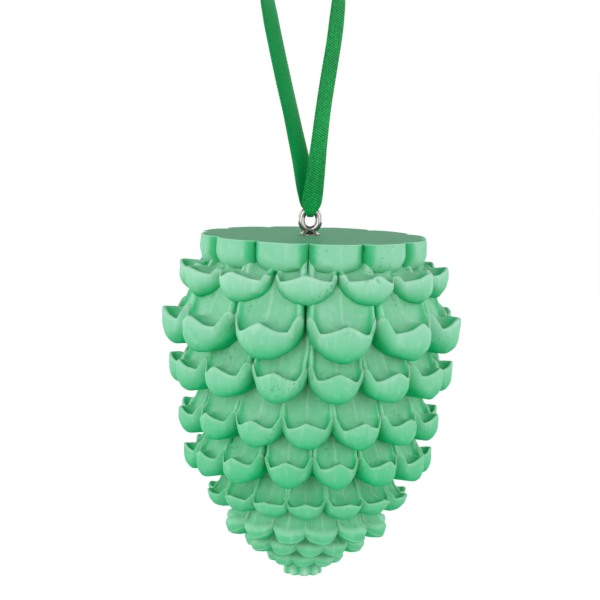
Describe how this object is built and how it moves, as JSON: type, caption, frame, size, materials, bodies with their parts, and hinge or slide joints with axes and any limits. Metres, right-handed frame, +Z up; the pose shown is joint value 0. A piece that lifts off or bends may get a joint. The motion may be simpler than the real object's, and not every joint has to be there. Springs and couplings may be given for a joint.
{
  "type": "pine cone ornament",
  "caption": "Hanging ornament in the form of a cut pine cone: cast dished scales in rows under a flat top, with a screw eye and a ribbon loop.",
  "frame": {"origin": "the inside top of the ribbon loop, where a hook carries the ornament", "axes": "+Z up along the cone's axis, which lies 4 mm to the +X side of the loop's top; the front of the picture faces -Y"},
  "size_m": [0.077, 0.0769, 0.1713],
  "materials": {
    "resin": "matte",
    "eye_metal": "polished",
    "ribbon": "satin"
  },
  "bodies": {
    "root": {"cone": "resin", "screw_eye": "eye_metal", "ribbon_loop": "ribbon"}
  },
  "joints": []
}
